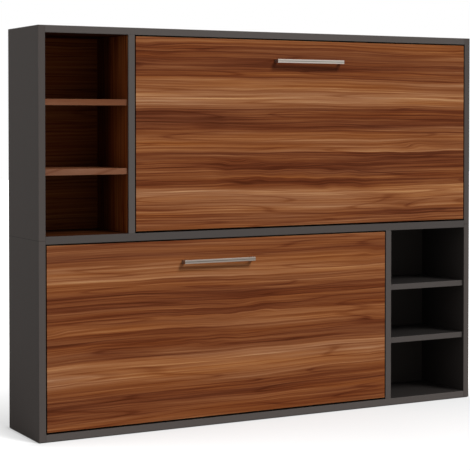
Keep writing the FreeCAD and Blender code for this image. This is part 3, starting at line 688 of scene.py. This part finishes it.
# The border draws in a little between its seams.
BORDER_INSET = 0.03
BORDER_DRAW = 0.0008
BOX_MARGIN = 0.0005
PIPING_RADIUS = 0.004
PIPING_OUT = 0.001


def crowned(points, low, high):
    """The back face lies lower towards the mattress's long edges: by the crown, times the square
    of the height's share from the middle, times the share of the way from front to back."""
    points = np.array(points, float)
    middle, half = (low.z + high.z) / 2, (high.z - low.z) / 2
    rise = np.minimum(np.abs(points[..., 2] - middle) / half, 1.0) ** 2
    depth = np.clip((points[..., 1] - low.y) / (high.y - low.y), 0, 1)
    points[..., 1] -= CROWN * rise * depth
    return points


def outline_of(low, high, inset):
    """A mattress's outline in X and Z, inset from its box, with round corners."""
    corners = [(low.x + inset, low.z + inset), (high.x - inset, low.z + inset),
               (high.x - inset, high.z - inset), (low.x + inset, high.z - inset)]
    return rounded_corners(corners, OUTLINE_RADIUS - inset, 14, closed=True)


def mattress_form(low, high):
    """A closed form: the outline shrinks to the middle of each face, and a quarter circle joins
    side and face, inset by its radius less the sine and as deep as its radius less the cosine."""
    outline = outline_of(low, high, COVER_INSET)
    centre = outline.mean(0)
    half_size = (outline.max(0) - outline.min(0)) / 2
    radius = SEAM_INSET - FRONT_INSET
    rows = [(share, radius, 0.0) for share in np.linspace(0.0, 1.0, 24)[1:]]
    rows += [(1.0, radius * (1 - math.sin(angle)), radius * (1 - math.cos(angle)))
             for angle in np.linspace(0, math.pi / 2, 7)[1:]]
    half = np.array(rows)
    share, inset = np.concatenate([half, half[::-1]])[:, :2].T
    depth = np.concatenate([low.y + FRONT_INSET + half[:, 2], high.y - BACK_INSET - half[::-1, 2]])
    shrink = share[:, None] * (1 - inset[:, None] / half_size)
    plane = centre + (outline - centre)[None] * shrink[:, None, :]
    level = np.broadcast_to(depth[:, None, None], plane[..., :1].shape)
    points = capped(np.concatenate([plane[..., :1], level, plane[..., 1:]], -1))
    return points, grid_quads(len(points), len(outline))


def mesh_points(mesh):
    """The points of a mesh as an array."""
    flat = np.empty(len(mesh.vertices) * 3)
    mesh.vertices.foreach_get("co", flat)
    return flat.reshape(-1, 3)


def evaluated(piece):
    """Replace a piece's mesh by what its modifiers make of it."""
    graph = bpy.context.evaluated_depsgraph_get()
    mesh = bpy.data.meshes.new_from_object(piece.evaluated_get(graph))
    piece.modifiers.clear()
    old = piece.data
    piece.data = mesh
    bpy.data.meshes.remove(old)


def remeshed(piece):
    """Even four-sided faces over the whole form."""
    remesh = piece.modifiers.new("even_faces", "REMESH")
    remesh.mode = "VOXEL"
    remesh.voxel_size = VOXEL
    evaluated(piece)


def refined(piece):
    """Each face as four smaller ones that follow a smooth surface."""
    refine = piece.modifiers.new("finer_faces", "SUBSURF")
    refine.levels = refine.render_levels = 1
    evaluated(piece)


def swollen(piece, rest):
    """Where pressed air would push the cover: a cloth simulation's last frame."""
    scene = bpy.context.scene
    cloth = piece.modifiers.new("filling", "CLOTH")
    cloth.settings.use_pressure = True
    cloth.settings.uniform_pressure_force = AIR_PRESSURE
    cloth.settings.tension_stiffness = CLOTH_STIFFNESS
    cloth.settings.compression_stiffness = CLOTH_STIFFNESS
    cloth.settings.effector_weights.gravity = 0.0
    cloth.point_cache.frame_start = 1
    cloth.point_cache.frame_end = SWELL_FRAMES
    for step in range(1, SWELL_FRAMES + 1):
        scene.frame_set(step)
    graph = bpy.context.evaluated_depsgraph_get()
    blown = mesh_points(piece.evaluated_get(graph).data)
    piece.modifiers.clear()
    scene.frame_set(1)
    return blown - rest


def rim_distance(points, centre, half):
    """How far points lie inside a box's outline in X and Z."""
    return (half - np.abs(points - centre))[:, [0, 2]].min(1)


def quilting(x, z):
    """Depth share of diamond quilting: stitched valleys along two crossed sets of lines, and
    pillows between them from the product of two sines."""
    first = (x + z) / QUILT_PITCH
    second = (x - z) / QUILT_PITCH
    off = np.minimum(np.abs(first - np.round(first)), np.abs(second - np.round(second)))
    away = off * QUILT_PITCH / math.sqrt(2)
    valley = np.exp(-(away / VALLEY_WIDTH) ** 2)
    pillow = np.abs(np.sin(math.pi * first) * np.sin(math.pi * second)) ** 0.5
    return pillow - VALLEY_SHARE * valley


def build_mattress(bed):
    """A quilted foam mattress: an even mesh, swollen between its seams, then finer, with the
    quilting on its faces and a border that draws in."""
    node = bed + "_mattress"
    low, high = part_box(node)
    centre = (np.array(low) + np.array(high)) / 2
    half = (np.array(high) - np.array(low)) / 2
    piece = new_piece(bed + "_quilted_mattress", *mattress_form(low, high), "cover", bed, "mattress_cover")
    remeshed(piece)
    rest = mesh_points(piece.data)
    seam_away = np.minimum(np.abs(rest[:, 1] - low.y - SEAM_INSET),
                           np.abs(rest[:, 1] - high.y + SEAM_INSET))
    rim_away = rim_distance(rest, centre, half) - COVER_INSET
    held = np.clip(np.hypot(seam_away, np.maximum(rim_away, 0)) / HELD_WAY, 0, 1)
    push = swollen(piece, rest)
    length = np.linalg.norm(push, axis=1, keepdims=True)
    rest += push * np.minimum(1.0, SWELL_CAP * held[:, None] / np.maximum(length, 1e-9))
    piece.data.vertices.foreach_set("co", rest.ravel())
    refined(piece)
    points = mesh_points(piece.data)
    rim_away = rim_distance(points, centre, half)
    on_back = np.clip((points[:, 1] - high.y + BACK_LAYER) / LAYER_SOFT, 0, 1)
    on_front = np.clip((low.y + FRONT_LAYER - points[:, 1]) / LAYER_SOFT, 0, 1)
    fade = np.clip((rim_away - RIM) / RIM_SOFT, 0, 1)
    relief = QUILT_DEPTH * quilting(points[:, 0] - centre[0], points[:, 2] - centre[2])
    points[:, 1] += (on_back - on_front * FRONT_SHARE) * fade * (relief - QUILT_DEPTH)
    border = np.clip(1 - np.abs(points[:, 1] - centre[1]) / (half[1] - BORDER_INSET), 0, 1)
    draw = border * (rim_away < RIM) * BORDER_DRAW
    points[:, 0] = centre[0] + (points[:, 0] - centre[0]) * (1 - draw)
    points = crowned(np.clip(points, np.array(low) + BOX_MARGIN, np.array(high) - BOX_MARGIN), low, high)
    piece.data.vertices.foreach_set("co", points.ravel())
    piece.data.polygons.foreach_set("use_smooth", np.full(len(piece.data.polygons), True))
    piece.data.update()
    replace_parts(piece, node)


def build_piping(bed):
    """A cord round each of the two seams of a mattress."""
    low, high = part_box(bed + "_mattress")
    outline = outline_of(low, high, COVER_INSET - PIPING_OUT)
    cords = []
    for y in (low.y + SEAM_INSET, high.y - SEAM_INSET):
        path = np.stack([outline[:, 0], np.full(len(outline), y), outline[:, 1]], -1)
        cord, cord_quads = carried(path, circle(PIPING_RADIUS, 10), (0, 1, 0), closed=True)
        cords.append((crowned(cord, low, high), cord_quads))
    new_piece(bed + "_mattress_piping", *gathered(cords), "piping", bed, "mattress_cover")


# Straps round the mattresses

STRAP_SHARES = (0.16, 0.5, 0.84)
STRAP_WIDTH = 0.045
STRAP_THICK = 0.002
STRAP_GAP = 0.0003
STRAP_END = 0.001
# Radius and steps of a strap's four bends, from the lower rail to the upper one.
STRAP_BENDS = ((0.004, 5), (0.013, 9), (0.013, 9), (0.004, 5))
STRAP_RUNGS = 14
BUCKLE_SHARE = 0.28
BUCKLE_REACH = 0.031
BUCKLE_HALF = 0.018
BUCKLE_CORNER = 0.005
BUCKLE_THICK = 0.0035
BUCKLE_DEEP = 0.006
BUCKLE_BAR = 0.0019


def build_straps(bed):
    """Webbing from the lower rail, round the mattress, to the upper rail, with a ladder buckle."""
    node = bed + "_mattress_straps"
    low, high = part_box(node)
    soft_low, soft_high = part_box(bed + "_mattress")
    rail_y = low.y + STRAP_THICK / 2
    back_y = high.y - STRAP_THICK / 2
    under = soft_low.z - STRAP_GAP - STRAP_THICK / 2
    over = soft_high.z + STRAP_GAP + STRAP_THICK / 2
    straps, buckles = [], []
    for share in STRAP_SHARES:
        x = soft_low.x + (soft_high.x - soft_low.x) * share
        corners = [(x, rail_y, low.z + STRAP_END), (x, rail_y, under), (x, back_y, under),
                   (x, back_y, over), (x, rail_y, over), (x, rail_y, high.z - STRAP_END)]
        foot, bottom, top, head = (rounded_corners(corners[place:place + 3], radius, steps)
                                   for place, (radius, steps) in enumerate(STRAP_BENDS))
        rungs = np.linspace(corners[2], corners[3], STRAP_RUNGS)[1:-1]
        path = np.concatenate([foot[:-1], bottom[1:-1], rungs, top[1:-1], head[1:]])
        path = crowned(path, soft_low, soft_high)
        straps.append(carried(path, rounded_profile(STRAP_WIDTH, STRAP_THICK), (1, 0, 0)))
        z = under + (over - under) * BUCKLE_SHARE
        y = crowned([x, back_y, z], soft_low, soft_high)[1] + STRAP_THICK
        left, right = x - BUCKLE_REACH, x + BUCKLE_REACH
        ring = rounded_corners([(left, y, z - BUCKLE_HALF), (right, y, z - BUCKLE_HALF),
                                (right, y, z + BUCKLE_HALF), (left, y, z + BUCKLE_HALF)],
                               BUCKLE_CORNER, 5, closed=True)
        buckles.append(carried(ring, rounded_profile(BUCKLE_THICK, BUCKLE_DEEP), (0, 1, 0), closed=True))
        bar = np.linspace((left + STRAP_END, y, z), (right - STRAP_END, y, z), 4)
        buckles.append(carried(bar, circle(BUCKLE_BAR, 10), (0, 1, 0)))
    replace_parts(new_piece(bed + "_webbing_straps", *gathered(straps), "webbing", bed, "webbing"), node)
    new_piece(bed + "_strap_buckles", *gathered(buckles), "plastic", bed, "black_plastic")


# Screws

BRACKET_PLATE = 0.005
# How far from a bracket's back and below its top its screws sit.
BRACKET_SCREWS = ((0.026, 0.016), (0.016, 0.038))
ANCHOR_PLATE = 0.003
ANCHOR_INSET = 0.011
RAIL_SCREWS = 7
RAIL_END_INSET = 0.06
RAIL_EDGE_INSET = 0.01
# Radius and height of a screw's head.
SCREW = (0.0045, 0.0022)
SMALL_SCREW = (0.0038, 0.0018)
SCREW_SEAT = -0.0005


def screw_head(radius, height, steps=18):
    """A round head on its seat with a six-sided recess: rings of (share of the radius, height,
    hexagon or not), where a hexagon's radius is its flat distance over the cosine of the angle."""
    turn = np.arange(steps) / steps * 2 * math.pi
    sixth = math.pi / 3
    hexagon = math.cos(sixth / 2) / np.cos((turn + sixth / 2) % sixth - sixth / 2)
    rings = np.array([
        (1.0, SCREW_SEAT, 0), (1.0, height * 0.35, 0), (0.86, height * 0.8, 0), (0.6, height, 0),
        (0.46, height, 1), (0.44, height * 0.3, 1), (0.0, height * 0.3, 1), (0.0, SCREW_SEAT, 0)])
    reach = rings[:, :1] * radius * np.where(rings[:, 2:] == 1, hexagon, 1.0)
    rise = rings[:, 1:2] * np.ones_like(reach)
    return np.stack([reach * np.cos(turn), reach * np.sin(turn), rise], -1)


def screws(places, outward, size=SCREW):
    """The same screw head at many places, its axis along outward."""
    head = screw_head(*size)
    axis = np.array(outward, float)
    side = np.array([0.0, 0.0, 1.0])
    basis = np.stack([side, np.cross(axis, side), axis])
    quads = grid_quads(len(head), head.shape[1])
    return [(head @ basis + np.array(place), quads) for place in places]


def build_screws():
    """Wood screws of the brackets and anchors, and the screws that hold each front to its frame."""
    cabinet = []
    for bed in BEDS:
        low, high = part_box(bed + "_pivot_brackets")
        for x, outward in ((low.x + BRACKET_PLATE, 1), (high.x - BRACKET_PLATE, -1)):
            spots = [(x, high.y - inset, high.z - drop) for inset, drop in BRACKET_SCREWS]
            cabinet += screws(spots, (outward, 0, 0))
        low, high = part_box(bed + "_strut_anchors")
        for x, outward in ((low.x + ANCHOR_PLATE, 1), (high.x - ANCHOR_PLATE, -1)):
            spots = [(x, y, z) for y in (low.y + ANCHOR_INSET, high.y - ANCHOR_INSET)
                     for z in (low.z + ANCHOR_INSET, high.z - ANCHOR_INSET)]
            cabinet += screws(spots, (outward, 0, 0), SMALL_SCREW)
        low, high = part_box(bed + "_frame_long_rails")
        spots = [(x, high.y, z)
                 for x in np.linspace(low.x + RAIL_END_INSET, high.x - RAIL_END_INSET, RAIL_SCREWS)
                 for z in (low.z + RAIL_EDGE_INSET, high.z - RAIL_EDGE_INSET)]
        new_piece(bed + "_panel_screws", *gathered(screws(spots, (0, 1, 0))), "zinc", bed, "zinc_fasteners")
    new_piece("cabinet_screws", *gathered(cabinet), "zinc", "cabinet", "zinc_fasteners")


for bed in BEDS:
    build_mattress(bed)
    build_piping(bed)
    build_straps(bed)
build_screws()


# Floor, light and camera

FLOOR_HALF = 30.0
# How brightly the floor shows close to the cabinet, where its lower glow is painted shade, and
# what is added beside it, behind it, in front of it and far from it.
NEAR_GLOW, BESIDE_GLOW, BEHIND_GLOW, FRONT_GLOW, FAR_GLOW = 0.42, 0.14, 0.16, 0.18, 0.58
# How far the painted shade reaches in front: at the cabinet's left end, and from the reach's place on.
LEFT_REACH, RIGHT_REACH, REACH_PLACE = 0.12, 0.95, 0.4
# How far the painted shade reaches beside and behind the cabinet.
SIDE_REACH, BACK_REACH = 0.3, 2.0
# Over what way the glow begins at the cabinet's ends, along them and behind it.
END_SOFT, ALONG_SOFT, BEHIND_SOFT = 0.02, 0.08, 0.05
# How far inside the bottom board's outline the painted shade under the cabinet is dark, and over what way
# that ends.
UNDER_INSET, UNDER_SOFT = (0.002, 0.004), (0.002, 0.003)
FLOOR_MATT = (0.54, 0.54, 0.54, 1.0)
FLOOR_UNSEEN = (0.5, 0.5, 0.5, 1.0)
WHITE = (1.0, 1.0, 1.0, 1.0)
# Direction to each lamp, its strength, and its width in degrees.
KEY_LIGHT = ((0.36, -0.62, 0.69), 2.65, 20)
FILL_LIGHT = ((-0.96, -0.20, 0.20), 0.40, 50)
AMBIENT = 0.22
CAMERA_PLACE = (-3.8163, -6.8776, 1.5440)
CAMERA_TURN = (90 - 1.3245, 0.0, -28.340)
CAMERA_LENS = 114.22
CAMERA_SHIFT = -0.17


def linked(name, data):
    """A new object in the scene."""
    made = bpy.data.objects.new(name, data)
    bpy.context.scene.collection.objects.link(made)
    return made


def floor_glow_with_painted_shade(tree):
    """How brightly the floor glows: painted shade, none under the cabinet and less near it, and white far
    from it.
    """
    low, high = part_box("bottom_board")
    end = -cad_box[0][0]
    parts = add(tree, "SeparateXYZ", {"Vector": add(tree, "TexCoord").outputs["Object"]}).outputs
    x, y = parts["X"], parts["Y"]
    reach = spread(tree, x, -end, REACH_PLACE, LEFT_REACH, RIGHT_REACH)
    before = maths(tree, "DIVIDE", less(tree, low.y, y), reach)
    away = maths(tree, "ABSOLUTE", x)
    beside = spread(tree, away, end, end + SIDE_REACH, 1.0, 0.0)
    behind = spread(tree, y, high.y, high.y + BACK_REACH, 1.0, 0.0)
    outside = spread(tree, away, end, end + END_SOFT)
    along = spread(tree, y, low.y - END_SOFT, low.y + ALONG_SOFT, 0.0, BESIDE_GLOW)
    lit_beside = times(tree, outside, along)
    lit_behind = spread(tree, y, high.y, high.y + BEHIND_SOFT, 0.0, BEHIND_GLOW)
    lit_near = summed(tree, maths(tree, "MAXIMUM", lit_beside, lit_behind), NEAR_GLOW)
    lit_front = spread(tree, before, 0.0, 1.0, 0.0, FRONT_GLOW)
    lit_far = times(tree, less(tree, 1.0, times(tree, beside, behind)), FAR_GLOW)
    # No glow under the cabinet: painted shade there.
    inset_x, inset_y = UNDER_INSET
    under = times(tree, near(tree, x, 0.0, end - inset_x, UNDER_SOFT[0]),
                  between(tree, y, low.y + inset_y, high.y - inset_y, UNDER_SOFT[1]))
    return times(tree, summed(tree, lit_near, summed(tree, lit_front, lit_far)), less(tree, 1.0, under))


def build_floor():
    """A pale floor that shows white to the camera and keeps the soft shadow near the cabinet, partly
    cast by the lamps and partly painted shade in its glow.
    """
    half = FLOOR_HALF
    corners = [(-half, -half, 0), (half, -half, 0), (half, half, 0), (-half, half, 0)]
    mesh = bpy.data.meshes.new("floor")
    mesh.from_pydata(corners, [], [(0, 1, 2, 3)])
    floor = linked("floor", mesh)
    made = bpy.data.materials.new("pale_floor")
    made.use_nodes = True
    tree = made.node_tree
    tree.nodes.clear()
    matt = add(tree, "BsdfDiffuse", {"Color": FLOOR_MATT}).outputs[0]
    glow = add(tree, "Emission", {"Color": WHITE, "Strength": floor_glow_with_painted_shade(tree)}).outputs[0]
    shown = add(tree, "AddShader", {0: matt, 1: glow}).outputs[0]
    unseen = add(tree, "BsdfDiffuse", {"Color": FLOOR_UNSEEN}).outputs[0]
    camera_ray = add(tree, "LightPath").outputs["Is Camera Ray"]
    both = add(tree, "MixShader", {0: camera_ray, 1: unseen, 2: shown}).outputs[0]
    tree.links.new(both, add(tree, "OutputMaterial").inputs["Surface"])
    mesh.materials.append(made)


def build_sun(name, towards, strength, width):
    """A lamp far away, given by the direction to it."""
    lamp = bpy.data.lights.new(name, "SUN")
    lamp.energy = strength
    lamp.angle = math.radians(width)
    made = linked(name, lamp)
    made.rotation_mode = "QUATERNION"
    made.rotation_quaternion = Vector(towards).to_track_quat("Z", "Y")


def build_world():
    """Even light for the surfaces, and white for the camera and in reflections."""
    world = bpy.data.worlds.new("studio")
    bpy.context.scene.world = world
    world.use_nodes = True
    tree = world.node_tree
    paths = add(tree, "LightPath").outputs
    seen = maths(tree, "MAXIMUM", paths["Is Camera Ray"],
                 maths(tree, "MAXIMUM", paths["Is Glossy Ray"], paths["Is Transmission Ray"]))
    shade = tree.nodes["Background"]
    shade.inputs["Color"].default_value = WHITE
    tree.links.new(spread(tree, seen, first=AMBIENT), shade.inputs["Strength"])


def build_camera():
    """A long lens from the left of the front, a little above half height."""
    data = bpy.data.cameras.new("camera")
    data.lens = CAMERA_LENS
    data.shift_y = CAMERA_SHIFT
    camera = linked("camera", data)
    camera.location = CAMERA_PLACE
    camera.rotation_euler = [math.radians(turn) for turn in CAMERA_TURN]
    bpy.context.scene.camera = camera


build_floor()
build_sun("key_light", *KEY_LIGHT)
build_sun("fill_light", *FILL_LIGHT)
build_world()
build_camera()
bpy.context.scene.view_settings.view_transform = "Standard"
